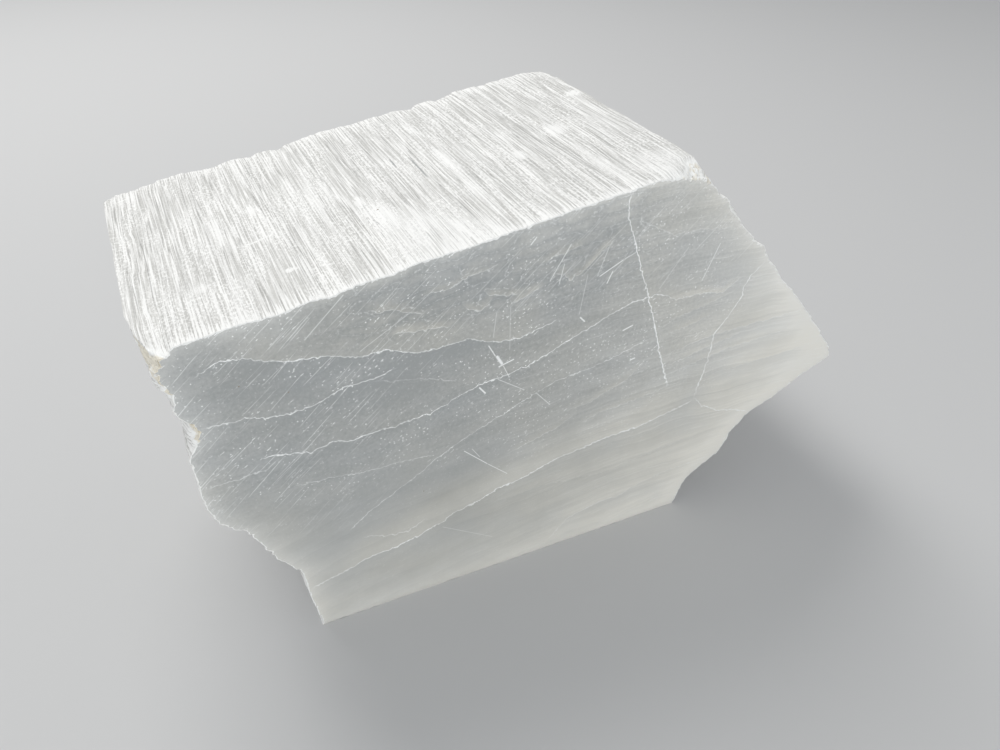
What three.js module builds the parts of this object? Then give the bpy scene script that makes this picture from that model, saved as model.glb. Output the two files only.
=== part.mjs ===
// A block of ulexite sawn out of a seam of parallel fibres.
//
// Millimetres, +Z up. The fibres run along Y, from the polished front end at -Y to the back end at +Y.
// The front end is a flat saw cut square to them, and the back end is one that is a little out of square.
// Every other face is a split along the fibres, so the block is one outline in X and Z carried along Y, with
// shallow cleavage plates on its sides and chips at its ends.
// The origin is the middle of the underside of the block's box, and the block stands on its flat base.
import * as THREE from "three";

const FIBRE_LENGTH = 47.6; // between the two sawn ends, at the right point, where it is greatest
const BACK_SKEW = 0.025; // how much shorter the fibres are for each millimetre further left
const BASE_WIDTH = 62; // the flat underside that the block stands on
const LEFT_REACH = 14.6; // how far the upper left edge overhangs the base
const RIGHT_REACH = 28; // how far the right point overhangs the base
const TOP_RIGHT = [57, 62.3]; // the upper corners, from the base's left corner
const TOP_LEFT = [-LEFT_REACH, 51.4];
const TIP = [BASE_WIDTH + RIGHT_REACH, 23.7];
const BOX_MIDDLE = (BASE_WIDTH + RIGHT_REACH - LEFT_REACH) / 2;

// The outline's rough sides, as x and z from the base's left corner, anticlockwise seen from the front.
const FOOT_AND_HOLLOW = [
  [62.8, 1.6], [63.4, 4], [64.4, 5.4], [67.2, 7.4], [69.7, 8.8], [70.8, 10.7], [71.9, 12.8],
  [74.1, 15.7], [76.2, 17], [79.4, 17.8], [82.8, 20], [86, 21.9],
];
const RIGHT_SLOPE = [
  [88.8, 26.6], [87.3, 28.9], [85.6, 30.3], [82.4, 33.7], [79.5, 36.9], [76.8, 39.8], [74.2, 42.4],
  [72.2, 44.8], [70.3, 46.8], [69.4, 48.4], [67.4, 49.8], [66.2, 51.1], [64.7, 52.5], [63.1, 54.4],
  [61.6, 56.3], [60, 57.8], [58.5, 59.6],
];
const TOP = [
  [49.6, 61.2], [46.3, 60.8], [45.2, 60.5], [40.5, 59.9], [33, 58.7], [26.5, 57.6], [19.8, 56.6],
  [17.5, 56.4], [15.7, 56], [14.2, 55.6], [12.4, 55.4], [9.8, 55.1], [6.8, 54.3], [5.2, 54.4],
  [3.4, 54], [1.4, 53.5], [-2.4, 53.3], [-9.4, 52.3],
];
const LEFT_FLANK = [
  [-14.4, 49.6], [-13.4, 47.5], [-12.3, 45.2], [-11.9, 43.6], [-11.6, 41.5], [-11.7, 36.5],
  [-11.5, 31.5], [-11.3, 28.4],
];
const UNDERCUT = [
  [-11, 26.7], [-10.2, 25.6], [-8.9, 24.2], [-7.4, 22.6], [-6.2, 20.4], [-5.6, 18.9], [-4.9, 18],
  [-4.5, 16.2], [-3.1, 14.6], [-2, 12.8], [-1.8, 10.4], [-1, 7.6], [-0.5, 4.4],
];
const BASE = Array.from({ length: 6 }, (_, i) => [(BASE_WIDTH * i) / 6, 0]);

// Each side's cleavage plates: how wide they are, and how deep the deepest lies under the outline.
const SIDES = [
  { points: BASE, plate: Infinity, depth: 0 },
  { points: [[BASE_WIDTH, 0], ...FOOT_AND_HOLLOW], plate: 5, depth: 0.6 },
  { points: [TIP, ...RIGHT_SLOPE], plate: 4, depth: 0.8 },
  { points: [TOP_RIGHT, ...TOP], plate: 3, depth: 0.18 },
  { points: [TOP_LEFT, ...LEFT_FLANK], plate: 3.5, depth: 0.6 },
  { points: UNDERCUT, plate: 4, depth: 0.5 },
];
const FRONT_SHARE = 0.3; // the share of its depth that a plate has at the front rim, which keeps the outline
const FRONT_FADE = 9; // how far back a plate reaches its full depth
const SHARP_CORNERS = [[0, 0], [BASE_WIDTH, 0], TIP, TOP_RIGHT, TOP_LEFT];
const CORNER_REACH = 2.2; // plates run out this close to a sharp corner
const RISER = 0.3; // the width of the step between two plates
const NORMAL_REACH = 1.5; // half the stretch of outline that a point's inward direction is taken over
const ROWS = 16; // cross-sections along the fibres, closest together at the two ends

const CHIP_CURVE = 1.6; // how hollow the chips are: 1 is a flat bevel

// Chips broken from the edges of the two ends. at: the middle of the chip on the outline. into: the way that
// the edge is pushed back. depth: how far. reach: half its length along the edge. run: how far it runs back
// along the fibres.
const FRONT = -1, BACK = 1;
const CHIPS = [
  { end: FRONT, at: [-14.6, 51.4], into: [1, -0.1], depth: 2.7, reach: 4.6, run: 10 },
  { end: FRONT, at: [-13.4, 46.8], into: [1, 0], depth: 1.1, reach: 3.4, run: 1.6 },
  { end: FRONT, at: [-11.6, 40.2], into: [1, 0], depth: 1.6, reach: 3.6, run: 4 },
  { end: FRONT, at: [-1.9, 11.2], into: [1, 0.1], depth: 0.8, reach: 1.8, run: 3 },
  { end: FRONT, at: [56.6, 62.2], into: [-0.3, -1], depth: 2.1, reach: 4.2, run: 5 },
  { end: FRONT, at: [52.2, 61.6], into: [0, -1], depth: 0.9, reach: 2.6, run: 2 },
  { end: FRONT, at: [87.2, 29], into: [-1, -0.6], depth: 0.5, reach: 1.6, run: 2.5 },
  { end: BACK, at: [-14.6, 51.4], into: [1, -0.7], depth: 0.8, reach: 2, run: 1.6 },
  { end: BACK, at: [-10.8, 52.1], into: [0, -1], depth: 0.6, reach: 1.8, run: 1.2 },
  { end: BACK, at: [11, 55.2], into: [0, -1], depth: 0.7, reach: 2.2, run: 1.6 },
  { end: BACK, at: [32.2, 58.6], into: [0, -1], depth: 0.9, reach: 2.2, run: 1.8 },
  { end: BACK, at: [38, 59.4], into: [0, -1], depth: 0.7, reach: 2, run: 1.4 },
  { end: BACK, at: [56.6, 62], into: [-1, -0.8], depth: 1.4, reach: 4, run: 4 },
  { end: BACK, at: [88.9, 24.5], into: [-1, 0.1], depth: 2.2, reach: 5, run: 6 },
  { end: BACK, at: [69.6, 48], into: [-0.8, -0.6], depth: 1.1, reach: 3.5, run: 4 },
  { end: BACK, at: [-8, 23], into: [0.8, 0.6], depth: 1.4, reach: 4, run: 5 },
];

// A repeatable run of numbers from 0 to 1.
function seeded(seed) {
  let state = seed;
  return () => {
    state = (Math.imul(state, 1664525) + 1013904223) >>> 0;
    return state / 2 ** 32;
  };
}

const distance = (a, b) => Math.hypot(a[0] - b[0], a[1] - b[1]);
const mix = (a, b, t) => [a[0] + (b[0] - a[0]) * t, a[1] + (b[1] - a[1]) * t];
const smooth = (t) => {
  const clamped = Math.min(1, Math.max(0, t));
  return clamped * clamped * (3 - 2 * clamped);
};

// The cleavage plates of one side, as its samples in order: each has a place on the outline and the number
// of its plate. Two samples a riser apart stand where one plate steps to the next.
function samplesOfSide(side, nextCorner, random, firstPlate) {
  const corners = [...side.points, nextCorner];
  const samples = [];
  let plate = firstPlate;
  let left = side.plate * (0.5 + random());
  for (let i = 0; i + 1 < corners.length; i++) {
    const [from, to] = [corners[i], corners[i + 1]];
    const length = distance(from, to);
    samples.push({ place: from, plate });
    let walked = 0;
    while (left < length - walked - 2 * RISER) {
      walked += Math.max(left, 2 * RISER);
      if (walked > length - 2 * RISER) break;
      samples.push({ place: mix(from, to, (walked - RISER / 2) / length), plate });
      plate += 1;
      samples.push({ place: mix(from, to, (walked + RISER / 2) / length), plate });
      left = side.plate * (0.5 + random());
    }
    left = Math.max(0, left - (length - walked));
  }
  return { samples, lastPlate: plate };
}

// Every sample round the outline, and each plate's depth along the fibres.
function makeSamples() {
  const random = seeded(20);
  const samples = [];
  const plates = [];
  SIDES.forEach((side, i) => {
    const next = SIDES[(i + 1) % SIDES.length].points[0];
    const made = samplesOfSide(side, next, random, plates.length);
    while (plates.length <= made.lastPlate) {
      plates.push({
        depth: side.depth * random(),
        step: side.depth * (random() - 0.5), // where a splinter has split off, the rest lies deeper or higher
        stepAt: FIBRE_LENGTH * (random() - 0.5),
        slant: side.depth * 0.3 * (random() - 0.5),
      });
    }
    samples.push(...made.samples);
  });
  return { samples, plates };
}

// How deep a plate lies at a place along the fibres. It is never above the outline.
function plateDepth(plate, y) {
  const past = smooth((y - plate.stepAt) / 1.2);
  const full = Math.max(0, plate.depth + plate.step * past + (plate.slant * y) / FIBRE_LENGTH);
  const behind = smooth((y + FIBRE_LENGTH / 2) / FRONT_FADE);
  return full * (FRONT_SHARE + (1 - FRONT_SHARE) * behind);
}

// Where the back end is, at a place across the block.
const backAt = (x) => FIBRE_LENGTH / 2 - BACK_SKEW * (TIP[0] - x);

// The way into the block from sample i, square to the outline about it.
function inwardAt(samples, i) {
  const count = samples.length;
  const walk = (step) => {
    let j = i;
    let gone = 0;
    while (gone < NORMAL_REACH) {
      const next = (j + step + count) % count;
      gone += distance(samples[j].place, samples[next].place);
      j = next;
    }
    return samples[j].place;
  };
  const [before, after] = [walk(-1), walk(1)];
  const length = distance(before, after);
  return [-(after[1] - before[1]) / length, (after[0] - before[0]) / length];
}

// Where sample i lies in the cross-section at y.
function placeAt(samples, plates, i, y) {
  const { place, plate } = samples[i];
  const corner = Math.min(...SHARP_CORNERS.map((c) => distance(c, place)));
  const inward = inwardAt(samples, i);
  const sunk = plateDepth(plates[plate], y) * smooth(corner / CORNER_REACH);
  const moved = [place[0] + inward[0] * sunk, place[1] + inward[1] * sunk];
  for (const chip of CHIPS) {
    const fromEnd = chip.end === FRONT ? y + FIBRE_LENGTH / 2 : backAt(place[0]) - y;
    const along = smooth(1 - distance(chip.at, place) / chip.reach);
    const back = Math.max(0, 1 - fromEnd / chip.run) ** CHIP_CURVE;
    const push = (chip.depth * along * back) / Math.hypot(...chip.into);
    moved[0] += chip.into[0] * push;
    moved[1] += chip.into[1] * push;
  }
  return place[1] === 0 ? [place[0], 0] : [moved[0], Math.max(0, moved[1])];
}

// The block: the outline extruded along the fibres, then each cross-section moved to its plates and chips.
function blockGeometry() {
  const { samples, plates } = makeSamples();
  const shape = new THREE.Shape(samples.map((s) => new THREE.Vector2(...s.place)));
  const geometry = new THREE.ExtrudeGeometry(shape, { depth: ROWS, steps: ROWS, bevelEnabled: false });
  const key = (x, z) => `${Math.fround(x)} ${Math.fround(z)}`;
  const sampleAt = new Map(samples.map((s, i) => [key(...s.place), i]));
  const position = geometry.getAttribute("position");
  for (let v = 0; v < position.count; v++) {
    const i = sampleAt.get(key(position.getX(v), position.getY(v)));
    const row = Math.round(position.getZ(v));
    const fromFront = (1 + Math.cos((Math.PI * row) / ROWS)) / 2;
    const y = fromFront * (backAt(samples[i].place[0]) + FIBRE_LENGTH / 2) - FIBRE_LENGTH / 2;
    const [x, z] = placeAt(samples, plates, i, y);
    position.setXYZ(v, x - BOX_MIDDLE, y, z);
  }
  return geometry;
}

const block = new THREE.Mesh(
  blockGeometry(),
  new THREE.MeshStandardMaterial({ color: 0xdcdedc, roughness: 0.45, metalness: 0 }),
);
block.name = "ulexite_block";

const ulexite = new THREE.Group();
ulexite.add(block);
export default ulexite;
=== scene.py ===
"""A block of fibrous ulexite on a plain floor.

The block is one piece of mineral. Its fibres run along Y, between a polished front end and a sawn back end,
and every other face is a split along them. Sizes are in millimetres until they reach Blender, which has
metres.
"""
import math

import bmesh
import bpy
from mathutils import Matrix, Vector, noise
from mathutils.bvhtree import BVHTree
from mathutils.kdtree import KDTree


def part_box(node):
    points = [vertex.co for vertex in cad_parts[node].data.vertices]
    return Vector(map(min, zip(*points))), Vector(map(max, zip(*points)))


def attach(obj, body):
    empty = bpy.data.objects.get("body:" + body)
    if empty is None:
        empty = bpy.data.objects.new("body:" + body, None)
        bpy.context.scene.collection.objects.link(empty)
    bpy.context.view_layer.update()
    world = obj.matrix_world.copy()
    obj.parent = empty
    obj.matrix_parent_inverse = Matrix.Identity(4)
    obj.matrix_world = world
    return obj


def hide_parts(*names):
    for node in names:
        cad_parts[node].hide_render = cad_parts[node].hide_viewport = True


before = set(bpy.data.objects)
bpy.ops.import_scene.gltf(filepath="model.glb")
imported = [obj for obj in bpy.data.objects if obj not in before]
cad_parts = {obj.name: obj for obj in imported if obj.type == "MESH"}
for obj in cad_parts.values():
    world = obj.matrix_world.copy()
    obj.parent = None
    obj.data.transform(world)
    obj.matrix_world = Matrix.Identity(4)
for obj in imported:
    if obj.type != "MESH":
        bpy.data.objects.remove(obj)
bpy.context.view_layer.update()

bl_info = {
    "name": "Ulexite block",
    "version": (1, 0, 0),
    "blender": (4, 5, 0),
    "location": "View3D > Sidebar > Ulexite",
    "description": "Builds a block of fibrous ulexite and a plain studio round it",
    "category": "Object",
}

NODE = "ulexite_block"
MM = 0.001
LOW, HIGH = (Vector(corner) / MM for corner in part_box(NODE))
FRONT_Y = LOW.y
MIDDLE_Y = (LOW.y + HIGH.y) / 2
FIBRE_LENGTH = HIGH.y - LOW.y

# The left end of the flat base. Places on the ends are given from it, as x to the right and z up.
BASE_LEFT = -37.7

# How closely the skin of the block is sampled.
ROUND_STEP = 0.24  # round the outline
BASE_STEP = 0.8  # across the flat underside, which has no relief
ROWS = 54  # cross-sections along the fibres, closest together at the two ends
CAP_GRID = 1.6  # across the two ends
GRID_SNAP = 0.03  # a corner this close to a grid line counts as on it
ON_RIM = 0.01  # a corner this close to the rim of an end belongs to it
SHARP_EDGE = math.radians(38)  # an edge that is bent more than this is shaded sharp
INWARD_REACH = 4.0  # the stretch of outline, each way, that settles which way is inward
OUTWARD_START = 1.0  # how far outside the outline the search for the solid's surface starts
SURFACE_REACH = 8  # and how far it goes from there
END_MARGIN = 0.03  # how far inside the ends it is made there
FLAT_BASE = 0.03  # what lies lower than this belongs to the flat underside

# What is cut into the split faces.
FLUTE_DEPTH = 0.10  # broad shallow channels
FIBRE_DEPTH = 0.035  # single fibres
BROAD_SPLINTERS = (2.3, 26, 0.30)  # their width, length and depth
FINE_SPLINTERS = (0.8, 14, 0.16)
TOP_CALM = 0.35  # the depth of all but the fibres on the top, in parts of that on the sides
TOP_FACING = -0.9  # the inward way's z is below this on the top
MEAN_RELIEF = 0.28  # given back all over, so that the skin keeps to the solid's size

# Ground that lies deeper than the outline halfway along the fibres is broken.
BROKEN_FROM, BROKEN_OVER = 0.2, 0.6  # how deep it begins, and over how much more it comes to the full
BROKEN_ROUGHNESS = 0.45
BROKEN_SPLINTERS = 0.5  # how much of the splinters it loses
END_ROUGHNESS = 0.16  # the split faces also crumble a little near the ends
END_REACH = 1.6
CRUMBS = 1.3  # to each millimetre

# The crushed edge round each end, as rings: how much of its width each ring lies in from the outline, and
# how much of its set-back it lies behind the end's plane.
RIM_RINGS = [(0.0, 1.0), (0.35, 0.7), (0.7, 0.25), (1.0, 0.0)]
RIM_SET_BACK = 0.8  # in parts of its width
RIM_UNEVEN = 0.25  # how far the rings between stray, in parts of its width
RIM_CHIP = 0.6  # how broken the crushed edge counts, where a chip's floor is 1
FLAT_RIM = 0.4  # its width under the base, in parts of its width elsewhere

# Cracks and the edges of growth layers on the polished end. run: the axis that the line runs along. points:
# x and z. width: of the pale line. strength: how white it is. above: how much painted light lies above it,
# or to the right of a line along z: light from the crack's face inside the stone. reach: how far that goes,
# where it isn't SHELF_REACH.
CRACKS = [
    dict(run="x", width=0.13, strength=0.75, above=0.42, points=[
        (-9.1, 48.1), (-7.8, 48.4), (-6, 49.4), (-3.5, 48.9), (0.7, 47.3), (5.3, 46.8), (9.5, 45.5),
        (12.8, 45.7), (16.7, 44.1), (22, 44.3), (23.5, 44.4), (27.5, 42.9), (31, 42.8), (36.4, 44.2)]),
    dict(run="x", width=0.11, strength=0.7, above=0.12, points=[
        (-9.8, 40.9), (-6.6, 40.7), (-4.5, 40.9), (-2.1, 40), (0, 39.9), (3.5, 40.2), (7.2, 41.7),
        (11.4, 42), (14.1, 42.9)]),
    dict(run="x", width=0.1, strength=0.35, above=0.0, points=[
        (10.6, 41.7), (13.6, 40.8), (16.6, 40.3), (19.2, 39.5), (22.3, 38.1)]),
    dict(run="x", width=0.1, strength=0.45, above=0.0, points=[
        (-11, 31.9), (-7.6, 32), (-3.4, 32.4), (-1.4, 33.7)]),
    dict(run="x", width=0.13, strength=0.8, above=0.16, points=[
        (-4.1, 34.4), (-1.1, 34), (2.1, 33.2), (4.9, 33.9), (7.6, 33.4), (12.2, 33.7), (18.2, 34.3),
        (20.7, 35.3), (24.7, 36.8), (28.3, 37.2), (32, 38), (35.3, 39.1), (38.6, 40.7), (41.6, 41.7),
        (44.2, 42.9), (48, 44.1), (52, 44.4), (53.8, 43.6)]),
    dict(run="x", width=0.1, strength=0.4, above=0.08, points=[
        (-0.7, 28.4), (4.8, 28.1), (8, 27.4), (13, 27.4), (18.3, 26.9)]),
    dict(run="x", width=0.09, strength=0.6, above=0.1, points=[
        (5.4, 17.4), (8.5, 19.9), (16, 24.3), (19.2, 26.5), (24.4, 29.1), (28.1, 30.5), (33.5, 32.9),
        (36.4, 34), (42.7, 34.8), (51.5, 37.1)]),
    dict(run="x", width=0.17, strength=0.7, above=0.4, points=[
        (-0.7, 8.6), (5.5, 10.2), (7.5, 11.1), (12.1, 11.5), (15.5, 12.3), (18.9, 13.5), (21.6, 14.9),
        (25.1, 15.5), (27.9, 16.8), (31.7, 17.3), (38.2, 19.3), (46.8, 20.5), (52.2, 20.7), (62.1, 22.8)]),
    dict(run="x", width=0.14, strength=0.35, above=0.08, points=[
        (7.3, 15.7), (11, 14.3), (13.9, 13.9), (16.6, 15.2), (17.2, 14.8)]),
    dict(run="z", width=0.15, strength=1.0, above=0.16, reach=14.0, points=[
        (56.5, 27), (55.6, 29.3), (53.1, 36.2), (51.9, 39.9), (50.8, 43.1), (49.7, 46.1), (48.2, 49.8),
        (46.3, 54.8), (45.4, 57.1), (45.2, 58.8), (45.5, 60.4)]),
    dict(run="z", width=0.15, strength=0.8, above=0.0, points=[
        (62, 23.3), (62.7, 27.2), (63.4, 30.3), (63.4, 34.9), (65.2, 37.1), (67.3, 40.6), (67.1, 42.1),
        (68.3, 44), (70.5, 45.9)]),
    dict(run="x", width=0.15, strength=0.6, above=0.1, points=[
        (61.8, 23.6), (63.9, 21.2), (67.9, 18.8), (70.5, 18.2), (75.1, 16.3)]),
    dict(run="x", width=0.13, strength=0.3, above=0.25, points=[
        (54.3, 33.3), (62.9, 34.8), (71.8, 35), (80.6, 35.1)]),
    dict(run="x", width=0.13, strength=0.15, above=0.2, points=[
        (64.1, 27.2), (74.3, 27.3), (86, 27.7)]),
    dict(run="x", width=0.12, strength=0.3, above=0.2, points=[
        (36.9, 1.4), (40.8, 5.3), (46.1, 6.6), (50.8, 6.6), (52, 7.4), (59, 8.7), (72, 8.9)]),
    dict(run="x", width=0.12, strength=0.1, above=0.15, points=[
        (24, 14.9), (30, 14.2), (36, 14.6), (47, 13.2), (52, 13.9), (62, 14.9)]),
    dict(run="x", width=0.12, strength=0.25, above=0.15, points=[
        (47, 56.4), (52.9, 53.2), (56.9, 53.2), (62.9, 52.5)]),
]

# The lower edges of shallow scales near the top of the polished end.
SCALES = [
    [(10.4, 51.8), (11.9, 51.2), (13.7, 51.1), (15.4, 50.3), (17.5, 49.6), (18.1, 49.9)],
    [(17.1, 51.6), (18.6, 52.2), (20.5, 52.1), (22, 52.6), (23.9, 53.5), (26.1, 53.7), (27.3, 53.9)],
    [(25.2, 51), (26.1, 50.3), (28, 49.7), (30.7, 49.5)],
    [(28.8, 48), (31, 48.7), (32.5, 49.4), (33.9, 49.7)],
    [(33.3, 52.6), (34.8, 53.7), (36.7, 53.9), (38.5, 54.4), (39.7, 54.6)],
    [(34.8, 51.2), (36.7, 50.8), (37.4, 49.9), (38.9, 50.3), (40.4, 51.4), (41.9, 52.9), (44.6, 55)],
    [(13.2, 47.5), (14.5, 47.7), (17.1, 47.3), (19.8, 47.1), (21.6, 46.9)],
    [(22.8, 49.4), (24.3, 48.4), (25.8, 48.6), (26.9, 49.7)],
    [(52.6, 44.2), (55.4, 42.8), (59.7, 42.8), (63.3, 42.1), (66.9, 44.2)],
]
# Each scale's edge is drawn as a crack, with painted light above it.
CRACKS += [
    dict(run="x", width=0.11, strength=0.4, above=0.4, reach=1.8, points=points)
    for points in SCALES]

# Fine lines that fan out to the right along the growth layers.
RAYS = [
    [(55.2, 31.1), (62.6, 32.8), (69.2, 33.9)],
    [(55.7, 29.5), (61.5, 30.6), (66.4, 31.4), (78, 32)],
    [(38.7, 28.1), (42.8, 28.4), (44.4, 29.2), (48.3, 30.6), (52.1, 33.9)],
    [(41.1, 24.8), (44.4, 25.9), (48.3, 26.2), (52.7, 26.7), (56.3, 27.3)],
    [(52.7, 38.3), (56, 39.7), (60.4, 40.5), (66.4, 42.1)],
    [(54.1, 37.2), (58.2, 37.7), (62.6, 38.8)],
    [(29, 22.9), (37.8, 25.6), (40.6, 27.3)],
]
# Each ray is drawn as a crack, with faint painted light above it.
CRACKS += [
    dict(run="x", width=0.1, strength=0.28, above=0.2, reach=2.0, points=points)
    for points in RAYS]

# Straight scratches on the polished end: both ends, the width and how white each is.
SCRATCHES = [
    ((22.7, 26.1), (26.4, 22.3), 0.13, 0.8), ((26.4, 22.3), (29.6, 19.2), 0.12, 0.7),
    ((23.9, 26.1), (25.2, 24.0), 0.1, 0.6), ((19.2, 12.5), (27.4, 6.8), 0.1, 0.35),
    ((33.5, 33.0), (36.0, 30.0), 0.12, 0.6), ((27.6, 37.0), (31.8, 33.9), 0.12, 0.6),
    ((26.2, 42.8), (27.3, 40.7), 0.16, 0.8), ((27.3, 41.0), (28.4, 39.0), 0.42, 1.0),
    ((28.4, 39.0), (29.4, 36.7), 0.12, 0.7), ((27.6, 38.9), (30.1, 39.6), 0.22, 0.9),
    ((24.9, 36.5), (26.0, 35.0), 0.24, 1.0), ((41.9, 49.3), (45.5, 51.1), 0.16, 0.9),
    ((45.5, 51.1), (47.3, 51.8), 0.12, 0.7), ((43.2, 47.9), (44.0, 49.8), 0.16, 0.9),
    ((34.6, 50.2), (37.4, 55.0), 0.12, 0.75), ((36.0, 49.5), (36.6, 52.4), 0.12, 0.7),
    ((59.1, 44.8), (61.2, 50.5), 0.14, 0.7), ((41.6, 49.4), (43.0, 53.4), 0.1, 0.6),
    ((51.9, 45.2), (55.8, 50.9), 0.1, 0.45), ((46.6, 39.7), (48.5, 40.3), 0.22, 0.9),
    ((39.5, 43.8), (40.5, 42.7), 0.22, 0.9), ((48.5, 34.2), (49.7, 34.4), 0.28, 0.9),
    ((3.3, 49.5), (8.4, 54.4), 0.14, 0.5), ((9.5, 46.3), (16.1, 50.2), 0.1, 0.5),
    ((27.3, 47.5), (26.9, 43.7), 0.12, 0.4), ((29.2, 47.9), (29.3, 41.1), 0.1, 0.35),
    ((40.2, 50.1), (39.4, 44.1), 0.12, 0.4), ((32.5, 56.9), (31.6, 55.8), 0.14, 0.9),
]

PITS = [(-4.6, 45.4), (0.7, 43.0), (16.6, 20.8)]  # specks of dirt on the polished end, as x and z
PIT_RADIUS = 0.1

LINE_WOBBLE = 0.4  # how far a crack strays from its points
LINE_JAG = 1.1  # and how much it zigzags
LINE_GAIN = 1.3  # a crack's strength is raised by this, because it is faint in places
LINE_TAPER = 1.5  # how gradually a crack starts and ends

SHELF_REACH = 8.0  # how far above a crack the painted light reaches
SHELF_FADE = 9.0  # how gradually the painted light starts and ends along the crack
SHELF_TONE = 0.5  # how much of that goes into the tone

# So little of the lines drawn so far goes into the next one's place that it can't be seen. It makes Cycles
# work them out one by one, and so keeps the material within what Cycles can hold.
TRACE = 0.0001

# The layers of growth on the polished end rise to the right, less and less.
LAYER_RISE = 0.27
LAYER_BEND = 0.0022
LAYER_DRIFT = 2.5  # how far they stray on the polished end
BACK_DRIFT = 3  # and on the sawn end

SANDING_SLOPE = math.radians(40)  # the way in which the polished end was sanded, up from X

MINERAL_IOR = 1.5
GLOW_REACH = 4  # how far light scatters under the skin of the polished end

# Worn patches on the top: x, the distance from the front, half the width and length, and how white each is.
RUBS = [
    (17.3, 13.5, 1.7, 4.0, 1.0), (16.2, 19.0, 0.6, 1.4, 0.8), (20.0, 7.0, 3.5, 6.0, 0.4),
    (24.0, 3.0, 4.0, 4.0, 0.4), (29.9, 24.0, 0.5, 4.5, 0.9), (29.8, 14.5, 0.4, 5.0, 0.5),
    (46.5, 22.5, 1.4, 1.6, 0.8), (46.3, 8.5, 0.7, 7.0, 0.6), (55.3, 32.7, 1.2, 1.0, 1.0),
    (38.8, 18.0, 0.8, 1.2, 0.8), (-1.6, 22.5, 0.6, 3.5, 0.6), (3.2, 26.6, 0.5, 1.6, 0.8),
    (11.2, 22.0, 0.3, 8.0, 0.6), (2.3, 17.9, 2.0, 0.2, 0.8), (4.3, 8.0, 0.6, 0.4, 0.9),
    (52.5, 4.5, 3.0, 3.0, 0.45), (-6.0, 10.0, 0.8, 1.0, 0.5),
]

# Dark gaps between the fibres of the top: x, and the distances from the front where each starts and ends.
HAIRLINES = [(26.2, 19.5, 28.0), (23.8, 25.5, 30.0)]
HAIRLINE_HALF = 0.14  # half the width, of which the outer half is soft
HAIRLINE_TAPER = 2.0

# The dark dot in the largest worn patch: x, the distance from the front and the radius.
TOP_PIT = (17.5, 15.4, 0.13)

TOP_STARTS = (45, 47)  # the marks of the top belong to what lies this high

# The studio, in metres.
FLOOR_HALF = 3
KEY_LIGHT = dict(place=(-0.12, 0.35, 0.5), size=0.35, colour=(1.0, 0.99, 0.97))
FILL_LIGHT = dict(place=(-0.2, -0.6, 0.22), size=0.5, colour=(0.95, 0.98, 1.0))
SKY_COLOUR = (0.96, 0.98, 1.0, 1)

# The camera: its place from the left end of the base at the front, in millimetres, and the ways in which its
# picture's right and top point.
CAMERA_PLACE = (-9.615, -77.474, 100.391)
CAMERA_RIGHT = (0.90593, -0.42292, 0.02056)
CAMERA_UP = (0.23433, 0.54121, 0.80758)
LENS, FILM_WIDTH = 29, 36
NEAR_LIMIT = 0.01  # in metres

# ---------------------------------------------------------------------------------------------------------
# The skin of the block


def smooth(t):
    """0 below 0, 1 above 1, and a soft step between."""
    t = min(1.0, max(0.0, t))
    return t * t * (3 - 2 * t)


def noise_at(x, y, z):
    """Smooth noise from about -1 to 1."""
    return noise.noise(Vector((x, y, z)))


def merged_solid():
    """The block's own solid with its corners joined, in millimetres."""
    bm = bmesh.new()
    bm.from_mesh(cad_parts[NODE].data)
    bmesh.ops.remove_doubles(bm, verts=bm.verts, dist=1e-7)
    bmesh.ops.scale(bm, verts=bm.verts, vec=(1 / MM,) * 3)
    bm.normal_update()
    return bm


def middle_outline(solid):
    """The corners of the solid's outline halfway along the fibres, in order round it from the base."""
    cut = solid.copy()
    bmesh.ops.bisect_plane(
        cut, geom=[*cut.verts, *cut.edges, *cut.faces], dist=1e-4, plane_co=(0, MIDDLE_Y, 0),
        plane_no=(0, 1, 0), clear_inner=True, clear_outer=True)
    start = here = min(cut.verts, key=lambda vert: round(vert.co.z, 2) * 1000 + abs(vert.co.x))
    corners, last = [], None
    for _ in cut.edges:
        corners.append(Vector((here.co.x, FRONT_Y, here.co.z)))
        last = next(edge for edge in here.link_edges if edge != last)
        here = last.other_vert(here)
    if here != start:
        raise RuntimeError("the solid has no single outline")
    cut.free()
    return corners


def back_plane(solid):
    """A corner and the normal of the solid's back end."""
    face = max(solid.faces, key=lambda f: f.normal.y * f.calc_area())
    return face.verts[0].co.copy(), face.normal.copy()


def prism(corners):
    """A closed prism on the outline, sampled finely round it and cut into rows along the fibres."""
    bm = bmesh.new()
    step = bm.verts.layers.int.new("step")
    points = [bm.verts.new(corner) for corner in corners]
    by_cuts = {}
    for here, after in zip(points, points[1:] + points[:1]):
        flat = max(here.co.z, after.co.z) < FLAT_BASE
        cuts = int((after.co - here.co).length / (BASE_STEP if flat else ROUND_STEP))
        by_cuts.setdefault(cuts, []).append(bm.edges.new((here, after)))
    by_cuts.pop(0, None)
    for cuts, edges in sorted(by_cuts.items()):
        bmesh.ops.subdivide_edges(bm, edges=edges, cuts=cuts)
    front = bmesh.ops.edgeloop_fill(bm, edges=bm.edges)["faces"][0]
    front.normal_update()
    if front.normal.y > 0:
        front.normal_flip()
    for i, vert in enumerate(front.verts):
        vert[step] = i
    outline = [vert.co.copy() for vert in front.verts]
    made = bmesh.ops.extrude_face_region(bm, geom=[front])["geom"]
    moved = [v for v in made if isinstance(v, bmesh.types.BMVert)]
    bmesh.ops.translate(bm, verts=moved, vec=(0, FIBRE_LENGTH, 0))
    long_edges = [e for e in bm.edges if abs(e.verts[0].co.y - e.verts[1].co.y) > FIBRE_LENGTH / 2]
    bmesh.ops.subdivide_edges(bm, edges=long_edges, cuts=ROWS - 1)
    bmesh.ops.recalc_face_normals(bm, faces=bm.faces)
    return bm, outline


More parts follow.
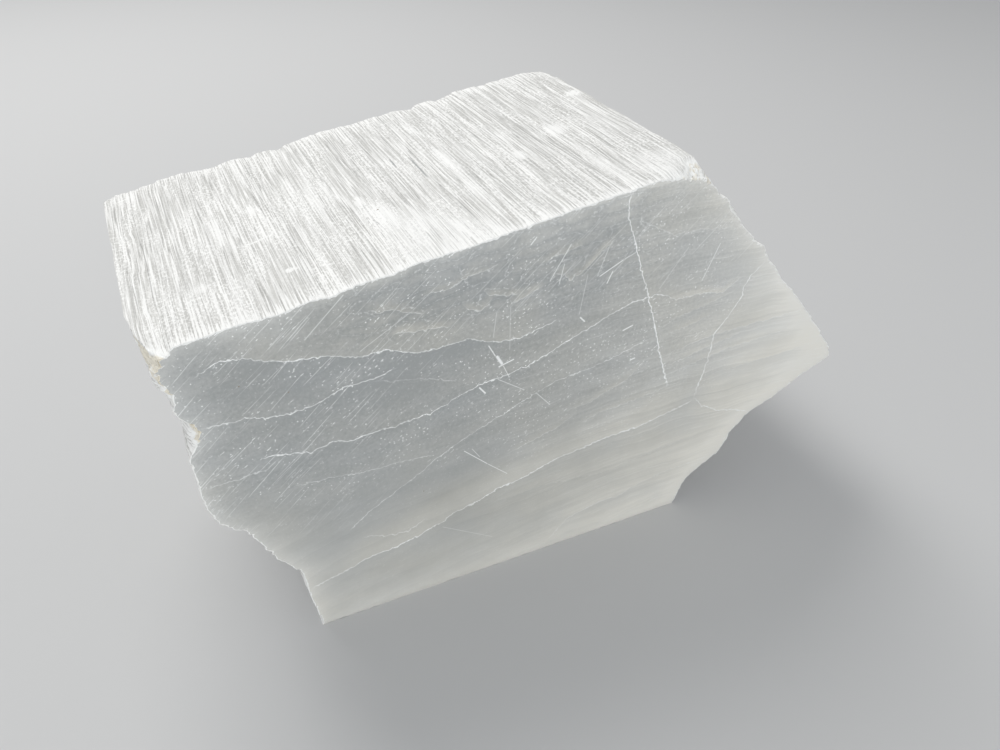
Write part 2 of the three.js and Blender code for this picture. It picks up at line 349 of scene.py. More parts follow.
def inward_way(outline, i):
    """The way into the block at a step of the outline, square to the stretch of outline about it."""
    ends = []
    for turn in (-1, 1):
        steps = 1
        while (outline[(i + turn * steps) % len(outline)] - outline[i]).length < INWARD_REACH:
            steps += 1
        ends.append(outline[(i + turn * steps) % len(outline)])
    along = ends[1] - ends[0]
    return Vector((-along.z, 0, along.x)).normalized()


def plates(around, y, width, length, depth):
    """The depth of one layer of long splinters: each is flat, and ends square across the fibres."""
    u = around / width + 0.7 * noise_at(around * 0.4 / width, y * 0.03, width)
    column = math.floor(u) + 0.5
    start = 60 * noise.cell(Vector((column, 7.5, width)))
    v = math.floor((y + start) / (length * (0.4 + noise.cell(Vector((column, 3.5, width))))))
    lot = noise.cell(Vector((column, v + 0.5, width)))
    edge = min(1.0, 6 * min(u - math.floor(u), 1 - u + math.floor(u)))
    return depth * lot * lot * (0.5 + 0.5 * edge)


def fibre_relief(settings, place, around, way):
    """How far the split surface lies under the solid's, in millimetres."""
    x, y, z = place
    calm = TOP_CALM if way.z < TOP_FACING else 1.0
    flutes = FLUTE_DEPTH * (1 + noise_at(x * 0.55, y * 0.015, z * 0.55))
    fibres = FIBRE_DEPTH * (1 + noise_at(x * 3.1, y * 0.07, z * 3.1))
    splinters = plates(around, y, *BROAD_SPLINTERS) + plates(around, y, *FINE_SPLINTERS)
    return settings.fibre_relief * calm * (flutes + splinters) + fibres * settings.fibre_relief


def crumble(place, amount):
    """Rough broken ground, for chips and crushed edges."""
    x, y, z = place * CRUMBS
    rough = abs(noise_at(x, y, z)) + 0.6 * abs(noise_at(2.3 * x, 2.3 * y, 2.3 * z))
    return amount * rough


def rim_width(settings, around, end):
    """How wide the crushed edge is at a place round an end, in millimetres."""
    bites = max(0.0, noise_at(around * 0.9, end, 4.0)) + 0.8 * max(0.0, noise_at(around * 2.6, end, 9.0))
    wide = max(0.0, noise_at(around * 0.22, end, 2.0) - 0.25)
    return settings.rim_width * (0.35 + 1.2 * bites + 2.0 * wide)


def shape_sides(settings, bm, step, chip, around, solid, outline, ways, lengths):
    """Lays every row on the solid's surface and cuts in the splinters and the broken ground."""
    tree = BVHTree.FromBMesh(solid)
    corner, normal = back_plane(solid)

    def on_solid(i, y):
        start = Vector((outline[i].x, y, outline[i].z)) - ways[i] * OUTWARD_START
        hit = tree.ray_cast(start, ways[i], SURFACE_REACH)[0]
        return hit or Vector((outline[i].x, y, outline[i].z))

    middles = [on_solid(i, MIDDLE_Y) for i in range(len(outline))]
    for vert in bm.verts:
        i = vert[step]
        share = round((vert.co.y - FRONT_Y) / FIBRE_LENGTH * ROWS) / ROWS
        lean = normal.x * (outline[i].x - corner.x) + normal.z * (outline[i].z - corner.z)
        back_y = corner.y - lean / normal.y
        y = FRONT_Y + (back_y - FRONT_Y) * (1 - math.cos(math.pi * share)) / 2
        flat = outline[i].z < FLAT_BASE
        place = on_solid(i, min(back_y - END_MARGIN, max(FRONT_Y + END_MARGIN, y)))
        broken = smooth(((place - middles[i]).dot(ways[i]) - BROKEN_FROM) / BROKEN_OVER)
        vert[chip] = 0.0 if flat else broken
        vert[around] = lengths[i]
        if not flat:
            depth = fibre_relief(settings, place, lengths[i], ways[i]) * (1 - BROKEN_SPLINTERS * broken)
            end = smooth(1 - min(y - FRONT_Y, back_y - y) / END_REACH)
            depth += crumble(place, BROKEN_ROUGHNESS * broken + END_ROUGHNESS * end)
            place = place + ways[i] * (depth - MEAN_RELIEF * settings.fibre_relief)
        vert.co = Vector((min(max(place.x, LOW.x), HIGH.x), min(y, HIGH.y), min(max(place.z, 0.0), HIGH.z)))


def shape_end(settings, bm, step, chip, edge, ways, lengths, facing):
    """Sets back the crushed edge of one end in rings, and cuts a grid into the plane inside it."""
    cap = max(bm.faces, key=lambda f: len(f.verts) * (f.normal.y * facing > 0.9))
    base = {vert[step]: vert.co.copy() for vert in cap.verts}
    for inward, back in RIM_RINGS:
        if inward:
            made = bmesh.ops.extrude_face_region(bm, geom=[cap])["geom"]
            bmesh.ops.delete(bm, geom=[cap], context="FACES_ONLY")
            cap = next(item for item in made if isinstance(item, bmesh.types.BMFace))
        for vert in cap.verts:
            i = vert[step]
            width = rim_width(settings, lengths[i], facing) * (FLAT_RIM if base[i].z < FLAT_BASE else 1)
            stray = RIM_UNEVEN * noise_at(lengths[i] * 2.1, 10 * inward, facing) * (0 < inward < 1)
            set_back = RIM_SET_BACK * width * back
            vert.co = base[i] + ways[i] * (width * (inward + stray)) - Vector((0, facing * set_back, 0))
            vert.co.z = max(vert.co.z, 0.0)
            vert[chip] = max(vert[chip], RIM_CHIP)
    geom = [cap, *cap.edges, *cap.verts]
    rim = KDTree(len(cap.verts))
    for i, vert in enumerate(cap.verts):
        rim.insert(vert.co, i)
    rim.balance()
    for axis in ((1, 0, 0), (0, 0, 1)):
        way = Vector(axis)
        first, last = LOW.dot(way), HIGH.dot(way)
        for k in range(1, int((last - first) / CAP_GRID)):
            at = way * (first + k * CAP_GRID)
            geom = bmesh.ops.bisect_plane(bm, geom=geom, dist=GRID_SNAP, plane_co=at, plane_no=way)["geom"]
    for item in geom:
        if isinstance(item, bmesh.types.BMVert):
            distance = rim.find(item.co)[2]
            item[edge] = distance
            if distance > ON_RIM:
                item[chip] = 0.0
        elif isinstance(item, bmesh.types.BMFace):
            item.material_index = 1 if facing < 0 else 2
            item.smooth = False


def block_mesh(settings):
    """The whole skin of the block."""
    solid = merged_solid()
    bm, outline = prism(middle_outline(solid))
    step = bm.verts.layers.int["step"]
    chip = bm.verts.layers.float.new("chip")
    edge = bm.verts.layers.float.new("edge")
    around = bm.verts.layers.float.new("around")
    ways = [inward_way(outline, i) for i in range(len(outline))]
    lengths = [0.0]
    for here, after in zip(outline, outline[1:]):
        lengths.append(lengths[-1] + (after - here).length)
    shape_sides(settings, bm, step, chip, around, solid, outline, ways, lengths)
    bm.normal_update()
    for face in bm.faces:
        face.smooth = True
    for facing in (-1, 1):
        shape_end(settings, bm, step, chip, edge, ways, lengths, facing)
    bmesh.ops.scale(bm, verts=bm.verts, vec=(MM,) * 3)
    bmesh.ops.recalc_face_normals(bm, faces=bm.faces)
    for line in bm.edges:
        line.smooth = line.calc_face_angle(0) < SHARP_EDGE
    mesh = bpy.data.meshes.new("ulexite_crystal")
    bm.to_mesh(mesh)
    bm.free()
    solid.free()
    return mesh


# ---------------------------------------------------------------------------------------------------------
# Materials. Numbers that multiply a place in a pattern are lumps, cells or lines to the millimetre, and
# numbers that are added to it only give the pattern ground of its own.


class Signal:
    """A value, vector or colour in a material. Arithmetic on values adds Math nodes."""

    def __init__(self, tree, socket):
        self.tree = tree
        self.socket = socket

    def add(self, kind, settings=None, inputs=None, output=0):
        """Adds a node with its settings, then feeds its sockets with numbers or signals."""
        node = self.tree.nodes.new(kind)
        for name, value in (settings or {}).items():
            if name == "curve":
                set_curve(node.mapping, value)
            else:
                setattr(node, name, value)
        for name, value in (inputs or {}).items():
            if isinstance(value, Signal):
                self.tree.links.new(value.socket, node.inputs[name])
            else:
                node.inputs[name].default_value = value
        return Signal(self.tree, node.outputs[output])

    def math(self, operation, *values):
        return self.add("ShaderNodeMath", {"operation": operation}, dict(enumerate(values)))

    def vector_math(self, operation, *values, output=0):
        return self.add("ShaderNodeVectorMath", {"operation": operation}, dict(enumerate(values)), output)

    def __add__(self, other):
        return self.math("ADD", self, other)

    def __sub__(self, other):
        return self.math("SUBTRACT", self, other)

    def __rsub__(self, other):
        return self.math("SUBTRACT", other, self)

    def __mul__(self, other):
        return self.math("MULTIPLY", self, other)

    def __abs__(self):
        return self.math("ABSOLUTE", self)

    __radd__ = __add__
    __rmul__ = __mul__

    def above(self, low, high, bottom=0.0, top=1.0):
        """A soft step from bottom, where this is at low, to top, where it is at high."""
        return self.add("ShaderNodeMapRange", {"interpolation_type": "SMOOTHSTEP"},
                        {0: self, 1: low, 2: high, 3: bottom, 4: top})

    def below(self, low, high, top=1.0, bottom=0.0):
        """A soft step from top, where this is at low, down to bottom, where it is at high."""
        return self.above(low, high, top, bottom)

    def between(self, first, last, outside, inside):
        """1 from first to last. Each end is soft, from this far outside it to this far inside it."""
        return self.above(first - outside, first + inside) * self.below(last - inside, last + outside)

    def at_least(self, other):
        return self.math("MAXIMUM", self, other)

    def fraction(self):
        return self.math("FRACT", self)

    def fade(self, reach):
        """1 where this is 0, dying away over a reach."""
        return self.math("EXPONENT", self * (-1 / reach))


def set_curve(mapping, points):
    """Gives a curve its points, joined by straight lines."""
    curve = mapping.curves[0]
    while len(curve.points) < len(points):
        curve.points.new(0.5, 0.5)
    for point, place in zip(curve.points, points):
        point.location = place
        point.handle_type = "VECTOR"
    mapping.update()


class Stone:
    """What every material of the block starts from: its place in millimetres, and mixes of colours."""

    def __init__(self, name):
        self.material = bpy.data.materials.new(name)
        self.material.use_nodes = True
        self.tree = self.material.node_tree
        self.shader = self.tree.nodes["Principled BSDF"]
        self.start = Signal(self.tree, None)
        coordinates = self.start.add("ShaderNodeTexCoord", output="Object")
        place = self.scaled(coordinates, 1 / MM)
        self.x = self.start.add("ShaderNodeSeparateXYZ", {}, {0: place}, "X") - BASE_LEFT
        self.y = self.start.add("ShaderNodeSeparateXYZ", {}, {0: place}, "Y") - FRONT_Y
        self.z = self.start.add("ShaderNodeSeparateXYZ", {}, {0: place}, "Z")
        self.flat = self.flat_vector(self.x, self.z)

    def flat_vector(self, u, v):
        return self.start.add("ShaderNodeCombineXYZ", {}, {"X": u, "Y": v})

    def noise(self, u, v, detail, roughness=0.5):
        """Noise from 0 to 1 that is one lump wide for each step of 1 in u or v."""
        return self.start.add("ShaderNodeTexNoise", {"noise_dimensions": "2D"}, {
            "Vector": self.flat_vector(u, v), "Scale": 1.0, "Detail": detail,
            "Roughness": roughness}, "Fac")

    def cells(self, u, v, feature="F1"):
        """Cells that are one wide for each step of 1 in u or v: the distance to their middles or edges."""
        return self.start.add("ShaderNodeTexVoronoi", {"feature": feature, "voronoi_dimensions": "2D"}, {
            "Vector": self.flat_vector(u, v), "Scale": 1.0}, "Distance")

    def dots(self, u, v, radius):
        """Dots of many sizes up to a radius, one or none to each cell."""
        distance = self.cells(u, v)
        colour = Signal(self.tree, distance.socket.node.outputs["Color"])
        lot = self.start.add("ShaderNodeSeparateXYZ", {}, {0: colour}, "X")
        return (distance - lot * lot * radius).below(-0.01, 0.02) * lot.above(0.5, 0.7)

    def pit(self, u, v, radius):
        """1 inside a round spot, and 0 outside it. u and v are measured from its middle."""
        return (u * u + v * v).below(radius * radius * 0.6, radius * radius * 1.2)

    def attribute(self, name):
        return self.start.add("ShaderNodeAttribute", {"attribute_name": name}, {}, "Fac")

    def mix(self, factor, first, second):
        """The first colour where the factor is 0, and the second where it is 1."""
        def colour(c):
            return c if isinstance(c, Signal) else (*c[:3], 1)
        return self.start.add("ShaderNodeMix", {"data_type": "RGBA"}, {
            0: factor, 6: colour(first), 7: colour(second)}, 2)

    def scaled(self, vector, factor):
        """A vector, or a colour, times a value."""
        return self.start.add("ShaderNodeVectorMath", {"operation": "SCALE"}, {0: vector, "Scale": factor})

    def tinted(self, colour, tint):
        return self.start.vector_math("MULTIPLY", colour, tint[:])

    def finish(self, colour, roughness, height, bump_mm, subsurface=0.0):
        """Feeds the shader. height is in parts of bump_mm."""
        bump = self.start.add("ShaderNodeBump", {}, {
            "Height": height, "Distance": bump_mm * MM, "Strength": 1.0})
        self.tree.links.new(colour.socket, self.shader.inputs["Base Color"])
        self.tree.links.new(bump.socket, self.shader.inputs["Normal"])
        if isinstance(roughness, Signal):
            self.tree.links.new(roughness.socket, self.shader.inputs["Roughness"])
        else:
            self.shader.inputs["Roughness"].default_value = roughness
        self.shader.inputs["IOR"].default_value = MINERAL_IOR
        self.shader.inputs["Subsurface Weight"].default_value = subsurface
        self.shader.inputs["Subsurface Radius"].default_value = (1.0, 1.0, 1.0)
        self.shader.inputs["Subsurface Scale"].default_value = GLOW_REACH * MM
        return self.material


def split_fibre_material(colours):
    """The silky faces that are split along the fibres, with their chips and crushed edges."""
    stone = Stone("split fibres")
    y = stone.y
    around = stone.attribute("around")
    chip = stone.attribute("chip")
    top = stone.z.above(*TOP_STARTS)
    fibre = around + stone.noise(around * 0.11, y * 0.05, 1.0) * 0.3
    fine = stone.noise(fibre * 3.6, y * 0.09, 1.0, 0.7)
    thread = stone.noise(fibre * 2.2 + 50, y * 0.045, 1.0, 0.6)
    grain = stone.noise(around * 3.0, y * 1.8, 1.0, 0.7)
    patch = stone.noise(around * 0.2 + 40, y * 0.07, 4.0, 0.75)

    hairs = abs(thread - 0.5).below(0.02, 0.07)
    stipple = grain.above(0.47, 0.6) * patch.above(0.38, 0.62, 0.15, 0.6)
    worn = worn_patches(stone, fine, grain, top)
    streaks = fine.above(0.44, 0.6) * 0.5 + hairs * 0.5 + stipple + worn
    colour = stone.mix(streaks, colours.fibre_grey, colours.silk_white)
    # Painted shadow: thin dark lines beside the white threads, deeper in some patches, which give the fibres
    # a look of relief.
    gap_shadows = abs(thread - 0.4).below(0.01, 0.035)
    colour = stone.scaled(colour, 1 - gap_shadows * patch.above(0.4, 0.6, 0.25, 0.08))

    colour = stone.mix(chip.above(0.1, 0.6), colour, broken_ground(stone, around, chip, colours))
    for x0, start, end in HAIRLINES:
        half = (end - start) / 2
        hairline = abs(stone.x - x0).below(HAIRLINE_HALF / 2, HAIRLINE_HALF) * top
        hairline = hairline * abs(y - (start + end) / 2).below(half - HAIRLINE_TAPER, half, 0.9)
        colour = stone.mix(hairline, colour, colours.deep_grey)
    x0, y0, radius = TOP_PIT
    colour = stone.mix(stone.pit(stone.x - x0, y - y0, radius) * top, colour, colours.crumb_brown)
    return stone.finish(colour, streaks.above(0.0, 1.2, 0.42, 0.65), height=fine, bump_mm=0.08)


def worn_patches(stone, fine, grain, top):
    """How white the worn fibres are: at both ends, and in the top's own patches."""
    y = stone.y
    worn = (y - (fine - 0.45) * 8).below(0.0, 1.2, 0.8)
    worn = worn.at_least((FIBRE_LENGTH - y - (fine - 0.42) * 16).below(0.0, 2.5, 0.7))
    ragged = (grain - 0.5) * 5 + (fine - 0.5) * 5
    for x0, y0, half_width, half_length, strength in RUBS:
        u, v = (stone.x - x0) * (1 / half_width), (y - y0) * (1 / half_length)
        worn = worn.at_least((u * u + v * v + ragged).below(0.3, 1.3, strength) * top)
    return worn


def broken_ground(stone, around, chip, colours):
    """The colour of crushed fibres, stained and dirty where a chip is deep."""
    y = stone.y
    stain = stone.noise(around * 0.45, y * 0.45 + 20, 3.0, 0.7) + stone.x.above(-6, 10, 0.12, -0.03)
    cream = stain.above(0.42, 0.6) * chip.above(0.7, 0.9)
    dirt = stone.noise(around * 1.7, y * 1.7 + 60, 2.0, 0.7).above(0.67, 0.72)
    ground = stone.mix(cream, colours.powder_white, colours.chip_cream)
    return stone.mix(dirt * chip.above(0.75, 0.95) * 0.7, ground, colours.crumb_brown)


def growth_layer(stone, drift, wander):
    """How far up the layers of growth a place lies, in millimetres."""
    return stone.z - stone.x * (LAYER_RISE - stone.x * LAYER_BEND) + drift * wander


def layer_marks(stone, drift, cloud, ragged):
    """How much the layers of growth change the tone, and how white their edges are."""
    x = stone.x
    layer = growth_layer(stone, drift, LAYER_DRIFT)
    steps = (layer * 0.24 + ragged * 0.05).fraction()
    leaves = (layer * 0.7 + ragged * 0.06 + cloud * 0.6).fraction()
    rays = stone.noise(layer * 1.3, x * 0.025 + 70, 3.0, 0.7)
    calm = cloud.above(0.4, 0.6)
    fan = x.above(16, 60, 0.25, 1.0)
    tone = (0.5 - steps) * (fan * 0.06 + 0.03) + (0.5 - leaves) * calm * fan * 0.07
    tone = tone + (rays - 0.5) * fan * 0.24
    edges = abs(leaves - 0.5).above(0.47, 0.5) * calm * fan * 0.25
    return tone, edges.at_least(abs(rays - 0.56).below(0.0, 0.012, 0.3) * fan)


def scale_marks(stone, drift, cloud, ragged):
    """How much shallow scales near the top change the tone, and how white their edges are."""
    x, z = stone.x, stone.z
    u = x * 0.17 + drift * 1.6 + ragged * 0.25
    v = z * 0.62 + cloud * 1.5 - x * 0.08
    inward = stone.cells(u, v, "DISTANCE_TO_EDGE")
    where = z.above(43, 50) * x.above(2, 12) * x.below(46, 56)
    edges = inward.below(0.0, 0.035, 0.45) * where * ragged.above(0.4, 0.6)
    return (inward.above(0.0, 0.35) - 0.5) * where * 0.12, edges


def crack_line(stone, crack, lines, across):
    """How white a crack's line is, and how much painted light lies above it, from the crack's face inside
    the stone.

    lines: those drawn so far. across: the place square to the way in which the crack runs, with its wobble.
    """
    points, along = crack["points"], stone.x
    if crack["run"] == "z":
        points, along = [(z, x) for x, z in points], stone.z
    points = sorted(points)
    along = lines.math("MULTIPLY_ADD", lines, TRACE, along)
    first, last = points[0][0], points[-1][0]
    low = min(p[1] for p in points)
    span = max(p[1] for p in points) - low
    curve = [((a - first) / (last - first), (b - low) / span) for a, b in points]
    share = stone.start.add("ShaderNodeMapRange", {}, {0: along, 1: first, 2: last})
    line = stone.start.add("ShaderNodeFloatCurve", {"curve": curve}, {"Factor": 1.0, "Value": share})
    above = across - line.math("MULTIPLY_ADD", line, span, low)
    within = along.between(first, last, 0.2, LINE_TAPER)
    width = crack["width"]
    line = abs(above).below(width * 0.3, width * 0.75, crack["strength"] * LINE_GAIN) * within
    if not crack["above"]:
        return line, None
    fade = min(SHELF_FADE, (last - first) / 3)
    # Painted light: paler above the crack, fading away upward and towards its ends.
    painted_shelf = above.below(0.0, crack.get("reach", SHELF_REACH), crack["above"]) * above.above(-0.08, 0.08)
    return line, painted_shelf * along.between(first, last, 0.5, fade)


def scratch_line(stone, lines, start, end, width, strength):
    """How white a straight scratch is. lines: those drawn so far."""
    middle = ((start[0] + end[0]) / 2, (start[1] + end[1]) / 2, 0)
    turn = math.atan2(end[1] - start[1], end[0] - start[0])
    reach = math.dist(start, end) / 2 - width
    place = lines.vector_math("MULTIPLY_ADD", lines, (TRACE, TRACE, 0), stone.flat)
    place = place.add("ShaderNodeMapping", {"vector_type": "TEXTURE"}, {
        "Vector": place, "Location": middle, "Rotation": (0, 0, turn)})
    place = place.vector_math("ABSOLUTE", place)
    beyond = place.vector_math("SUBTRACT", place, (reach, 0, 0))
    beyond = beyond.vector_math("MAXIMUM", beyond, (0, 0, 0))
    distance = beyond.vector_math("LENGTH", beyond, output="Value")
    return distance.below(width * 0.2, width * 0.7, strength)


def placed_lines(stone, cloud, ragged):
    """How white the cracks and scratches are, and how much painted light lies above the cracks."""
    zigzag = abs(stone.noise(stone.x * 0.7 + 20, stone.z * 0.7, 1.0) - 0.5)
    wobble = (ragged - 0.5) * LINE_WOBBLE + (zigzag - 0.08) * LINE_JAG
    across = {"x": stone.z + wobble, "z": stone.x + wobble}
    lines = painted_shelves = wobble * TRACE
    for crack in CRACKS:
        line, painted_shelf = crack_line(stone, crack, lines, across[crack["run"]])
        lines = lines.at_least(line)
        if painted_shelf:
            painted_shelves = painted_shelves + painted_shelf
    lines = lines * cloud.above(0.38, 0.55, 0.6, 1.0) * ragged.above(0.3, 0.5, 0.6, 1.0)
    for scratch in SCRATCHES:
        lines = lines.at_least(scratch_line(stone, lines, *scratch))
    return lines, painted_shelves


def sanding_marks(stone, along, across, cloud):
    """How white the fine sanding lines are."""
    x, z = stone.x, stone.z
    hatch = stone.dots(across * 3.6, along * 0.07, 0.2) * 0.4
    hatch = hatch.at_least(stone.dots((across + along * 0.07) * 2.8 + 40, along * 0.045, 0.16) * 0.55)
    left = (x - z * 0.75).below(-30, 2, 1.0, 0.12) * z.above(12, 30) * cloud.above(0.36, 0.5, 0.3, 1.0)
    upper_right = x.above(20, 26) * z.above(44, 50)
    return hatch * left.at_least(upper_right * 0.7)


def speck_marks(stone, along, across, cloud, ragged, busy):
    """How white the specks are: dots, and short needles along the sanding and across it."""
    x, z = stone.x, stone.z
    specks = stone.dots(x * 1.7, z * 1.7, 0.16) * ragged.above(0.35, 0.5, 0.4, 1.0)
    needles = stone.dots(across * 1.3, along * 0.4 + 3, 0.09).at_least(
        stone.dots((x + z * 0.6) * 0.27 + 7, (z - x * 0.6) * 1.2, 0.09))
    return specks.at_least(needles * 0.8) * busy * cloud.above(0.4, 0.6, 0.25, 1.0)


def polished_end_material(colours):
    """The polished end: grey and cloudy, with layers of growth, cracks and scratches."""
    stone = Stone("polished end")
    x, z = stone.x, stone.z
    edge = stone.attribute("edge")
    drift = stone.noise(x * 0.07, z * 0.11, 3.0)
    cloud = stone.noise(x * 0.11 + 30, z * 0.2, 4.0, 0.6)
    ragged = stone.noise(x * 1.7, z * 1.7, 3.0, 0.7)
    jag = stone.noise(x * 2.2, z * 2.2, 2.0, 0.8) - 0.5
    busy = z.above(16, 36, 0.15, 1.0) * x.below(58, 74, 1.0, 0.1)

    layer_tone, layer_edges = layer_marks(stone, drift, cloud, ragged)
    scale_tone, scale_edges = scale_marks(stone, drift, cloud, ragged)
    lines, painted_shelves = placed_lines(stone, cloud, ragged)
    lines = lines.at_least(layer_edges).at_least(scale_edges)
    along = x * math.cos(SANDING_SLOPE) + z * math.sin(SANDING_SLOPE)
    across = x * math.sin(SANDING_SLOPE) - z * math.cos(SANDING_SLOPE)
    sanding = sanding_marks(stone, along, across, cloud)
    marks = lines.at_least(sanding).at_least(speck_marks(stone, along, across, cloud, ragged, busy))

    # Painted light: the smooth tone is paler towards the right tip, towards the bottom and within a few
    # millimetres of the rim, a painted glow of light through the thin stone there. The layers, scales and
    # cloud are the stone's own tone.
    u, v = x * (1 / 90), z * (1 / 60)
    tone = layer_tone + scale_tone + painted_shelves * SHELF_TONE + (u * u * 1.1 - u * 0.15)
    tone = tone + (v * v * 0.55 - v * 1.04) + edge.fade(3.0) * 0.36 + 0.46
    tone = tone + (cloud - 0.5) * 0.3 + (jag + ragged - 0.5) * busy * 0.3
    colour = stone.mix(tone, colours.deep_grey, colours.end_pale_and_glow)
    # Warmer to the right and at the bottom by the stone's own tint, and warmer with the painted glow near
    # the rim and the painted light above the cracks.
    warmth_and_glow = u * 0.5 + v.below(0.0, 0.8, 0.7) + edge.fade(2.0) * 0.2 + (drift - 0.5)
    warmth_and_glow = warmth_and_glow + (painted_shelves + scale_tone) * 1.5
    colour = stone.mix(warmth_and_glow, colour, stone.tinted(colour, colours.end_warmth))
    colour = stone.mix(marks, colour, colours.crack_white)
    for x0, z0 in PITS:
        colour = stone.mix(stone.pit(x - x0, z - z0, PIT_RADIUS), colour, colours.crumb_brown)
    return stone.finish(colour, 0.36, height=sanding + cloud * 2, bump_mm=0.03, subsurface=0.35)


def sawn_back_material(colours):
    """The back end: sawn and left matt, with the saw's marks."""
    stone = Stone("sawn back")
    x, z = stone.x, stone.z
    edge = stone.attribute("edge")
    drift = stone.noise(x * 0.05, z * 0.08, 3.0)
    layers = stone.noise(growth_layer(stone, drift, BACK_DRIFT) * 0.45, x * 0.02 + 70, 3.0, 0.65)
    saw = stone.noise(x * 0.015 + 30, (z + x * 0.12) * 1.9, 2.0, 0.7)
    grain = stone.noise(x * 3.0, z * 3.0, 3.0, 0.7)
    # Painted glow: paler within a few millimetres of the rim, as on the polished end.
    tone = layers * 0.5 + saw.above(0.35, 0.65) * 0.12 + (grain - 0.5) * 0.3 + edge.fade(3.0) * 0.4
    colour = stone.mix(tone, stone.mix(drift, colours.deep_grey, colours.fibre_grey), colours.silk_white)
    return stone.finish(colour, 0.6, height=saw + grain * 0.6, bump_mm=0.03)


# ---------------------------------------------------------------------------------------------------------
# What a user can change


def colour_property(name, description, default):
    return bpy.props.FloatVectorProperty(name=name, description=description, default=default, size=3,
                                         subtype="COLOR", min=0, max=1)


class UlexiteBlockSettings(bpy.types.PropertyGroup):
    """The sizes and colours of the block."""

    fibre_relief: bpy.props.FloatProperty(
        name="Fibre relief", description="The depth of the splinters, in parts of the usual",
        default=1.0, min=0, max=3, subtype="FACTOR")
    rim_width: bpy.props.FloatProperty(
        name="Crushed edge", description="The width of the crushed edge round the ends, in millimetres",
        default=0.3, min=0.05, max=1)
    silk_white: colour_property("Silk white", "The bright fibres", (0.96, 0.955, 0.935))
    fibre_grey: colour_property("Fibre grey", "The clear fibres", (0.56, 0.555, 0.53))
    powder_white: colour_property("Powder white", "Crushed fibres in the chips and rims", (0.95, 0.95, 0.93))
    chip_cream: colour_property("Chip cream", "Stained ground in the chips", (0.84, 0.79, 0.68))
    crumb_brown: colour_property("Crumb brown", "Dirt held in the chips", (0.30, 0.26, 0.20))
    deep_grey: colour_property("Deep grey", "The darkest stone on the polished end", (0.365, 0.378, 0.378))
    # The pale end colour is also the painted glow near the rim and the right tip of the polished end.
    end_pale_and_glow: colour_property("Pale end", "The palest stone on the polished end", (0.84, 0.842, 0.825))
    # The end warmth also tints the painted glow near the rim and the painted light above the cracks.
    end_warmth: colour_property("End warmth", "The tint of the polished end's warm parts", (1, 0.97, 0.91))
    crack_white: colour_property("Crack white", "Cracks and scratches", (0.97, 0.975, 0.965))


class UlexiteStageSettings(bpy.types.PropertyGroup):
    """The floor, the light and the camera."""

    floor: colour_property("Floor", "The floor's colour", (0.60, 0.60, 0.60))
    floor_roughness: bpy.props.FloatProperty(
        name="Floor roughness", description="How matt the floor is", default=0.9, min=0, max=1,
        subtype="FACTOR")
    key_power: bpy.props.FloatProperty(
        name="Key light", description="The power of the soft light behind and above", default=2.0,
        unit="POWER")
    fill_power: bpy.props.FloatProperty(
        name="Fill light", description="The power of the soft light in front", default=1.8, unit="POWER")
    sky: bpy.props.FloatProperty(
        name="Sky", description="The strength of the even light all round", default=0.5, min=0)


class ULEXITE_OT_block(bpy.types.Operator):
    """Build the block with its splinters, chips and polished end"""

    bl_idname = "ulexite.block"
    bl_label = "Ulexite block"

    def execute(self, context):
        settings = context.scene.ulexite_block
        block = bpy.data.objects.new("ulexite_crystal", block_mesh(settings))
        context.scene.collection.objects.link(block)
        block.data.materials.append(split_fibre_material(settings))
        block.data.materials.append(polished_end_material(settings))
        block.data.materials.append(sawn_back_material(settings))
        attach(block, "root")
        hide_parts(NODE)
        return {"FINISHED"}


def area_light(scene, name, power, place, size, colour):
    """A square soft light that faces the block's middle. The place and size are in metres."""
    light = bpy.data.lights.new(name, "AREA")
    light.shape, light.size, light.energy, light.color = "SQUARE", size, power, colour
    lamp = bpy.data.objects.new(name, light)
    lamp.location = place
    aim = (LOW + HIGH) * 0.5 * MM - lamp.location
    lamp.rotation_euler = aim.to_track_quat("-Z", "Y").to_euler()
    scene.collection.objects.link(lamp)


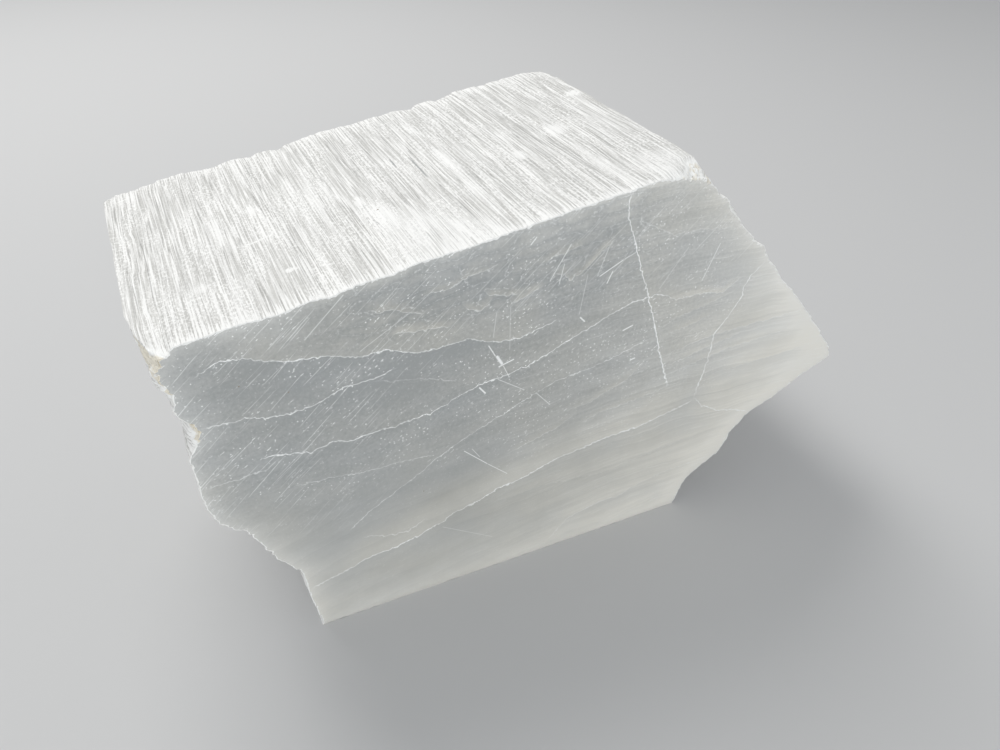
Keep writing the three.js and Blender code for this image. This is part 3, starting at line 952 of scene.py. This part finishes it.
class ULEXITE_OT_stage(bpy.types.Operator):
    """Set out the floor, the lights and the camera"""

    bl_idname = "ulexite.stage"
    bl_label = "Stage"

    def execute(self, context):
        scene = context.scene
        settings = scene.ulexite_stage
        bm = bmesh.new()
        bmesh.ops.create_grid(bm, x_segments=1, y_segments=1, size=FLOOR_HALF)
        mesh = bpy.data.meshes.new("floor")
        bm.to_mesh(mesh)
        bm.free()
        floor = bpy.data.objects.new("floor", mesh)
        scene.collection.objects.link(floor)
        material = bpy.data.materials.new("floor")
        material.use_nodes = True
        shader = material.node_tree.nodes["Principled BSDF"]
        shader.inputs["Base Color"].default_value = (*settings.floor, 1)
        shader.inputs["Roughness"].default_value = settings.floor_roughness
        mesh.materials.append(material)

        world = bpy.data.worlds.new("studio")
        world.use_nodes = True
        background = world.node_tree.nodes["Background"]
        background.inputs["Color"].default_value = SKY_COLOUR
        background.inputs["Strength"].default_value = settings.sky
        scene.world = world
        scene.view_settings.view_transform = "Standard"

        area_light(scene, "key", settings.key_power, **KEY_LIGHT)
        area_light(scene, "fill", settings.fill_power, **FILL_LIGHT)

        lens = bpy.data.cameras.new("camera")
        lens.lens = LENS
        lens.sensor_width = FILM_WIDTH
        lens.clip_start = NEAR_LIMIT
        camera = bpy.data.objects.new("camera", lens)
        right, up = Vector(CAMERA_RIGHT), Vector(CAMERA_UP)
        turn = Matrix((right, up, right.cross(up))).transposed()
        camera.rotation_euler = turn.to_euler()
        camera.location = (Vector(CAMERA_PLACE) + Vector((BASE_LEFT, FRONT_Y, 0))) * MM
        scene.collection.objects.link(camera)
        scene.camera = camera
        return {"FINISHED"}


class ULEXITE_PT_panel(bpy.types.Panel):
    """The sidebar panel that lists the operators"""

    bl_idname = "ULEXITE_PT_panel"
    bl_label = "Ulexite"
    bl_space_type = "VIEW_3D"
    bl_region_type = "UI"
    bl_category = "Ulexite"

    def draw(self, context):
        for settings, operator in ((context.scene.ulexite_block, "ulexite.block"),
                                   (context.scene.ulexite_stage, "ulexite.stage")):
            box = self.layout.box()
            box.operator(operator)
            for name in settings.__annotations__:
                box.prop(settings, name)


CLASSES = (UlexiteBlockSettings, UlexiteStageSettings, ULEXITE_OT_block, ULEXITE_OT_stage, ULEXITE_PT_panel)


def register():
    for cls in CLASSES:
        bpy.utils.register_class(cls)
    bpy.types.Scene.ulexite_block = bpy.props.PointerProperty(type=UlexiteBlockSettings)
    bpy.types.Scene.ulexite_stage = bpy.props.PointerProperty(type=UlexiteStageSettings)


def unregister():
    del bpy.types.Scene.ulexite_stage
    del bpy.types.Scene.ulexite_block
    for cls in reversed(CLASSES):
        bpy.utils.unregister_class(cls)


def main():
    register()
    bpy.ops.ulexite.block()
    bpy.ops.ulexite.stage()


if __name__ == "__main__":
    main()
